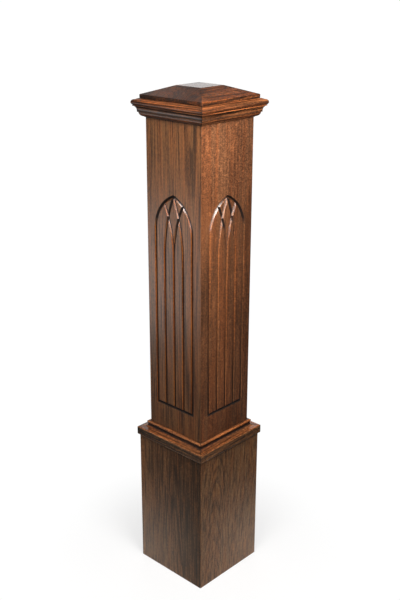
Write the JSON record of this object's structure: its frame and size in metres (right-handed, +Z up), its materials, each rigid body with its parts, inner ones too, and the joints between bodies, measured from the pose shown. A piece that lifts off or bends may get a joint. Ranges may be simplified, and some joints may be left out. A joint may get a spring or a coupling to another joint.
{
  "type": "newel post",
  "caption": "Square box newel post with a wrapped base, ledge moulding, shaft faces carved with pointed-arch tracery, a crown moulding and a low pyramid cap.",
  "frame": {"origin": "centre of the post's foot, on the floor", "axes": "+Z up along the post's axis; -Y out of its front face and +X out of its right face"},
  "size_m": [0.2104, 0.2104, 1.172],
  "materials": {
    "shaft_oak": "dark stained oak, satin lacquer",
    "base_oak": "dark stained oak, satin lacquer",
    "ledge_oak": "dark stained oak, satin lacquer",
    "crown_oak": "dark stained oak, satin lacquer",
    "cap_oak": "dark stained oak, satin lacquer"
  },
  "bodies": {
    "root": {"shaft_board_front": "shaft_oak", "shaft_board_right": "shaft_oak", "shaft_board_back": "shaft_oak", "shaft_board_left": "shaft_oak", "base_board_front": "base_oak", "base_board_right": "base_oak", "base_board_back": "base_oak", "base_board_left": "base_oak", "ledge_moulding_front": "ledge_oak", "ledge_moulding_right": "ledge_oak", "ledge_moulding_back": "ledge_oak", "ledge_moulding_left": "ledge_oak", "crown_moulding_front": "crown_oak", "crown_moulding_right": "crown_oak", "crown_moulding_back": "crown_oak", "crown_moulding_left": "crown_oak", "cap": "cap_oak"}
  },
  "joints": []
}
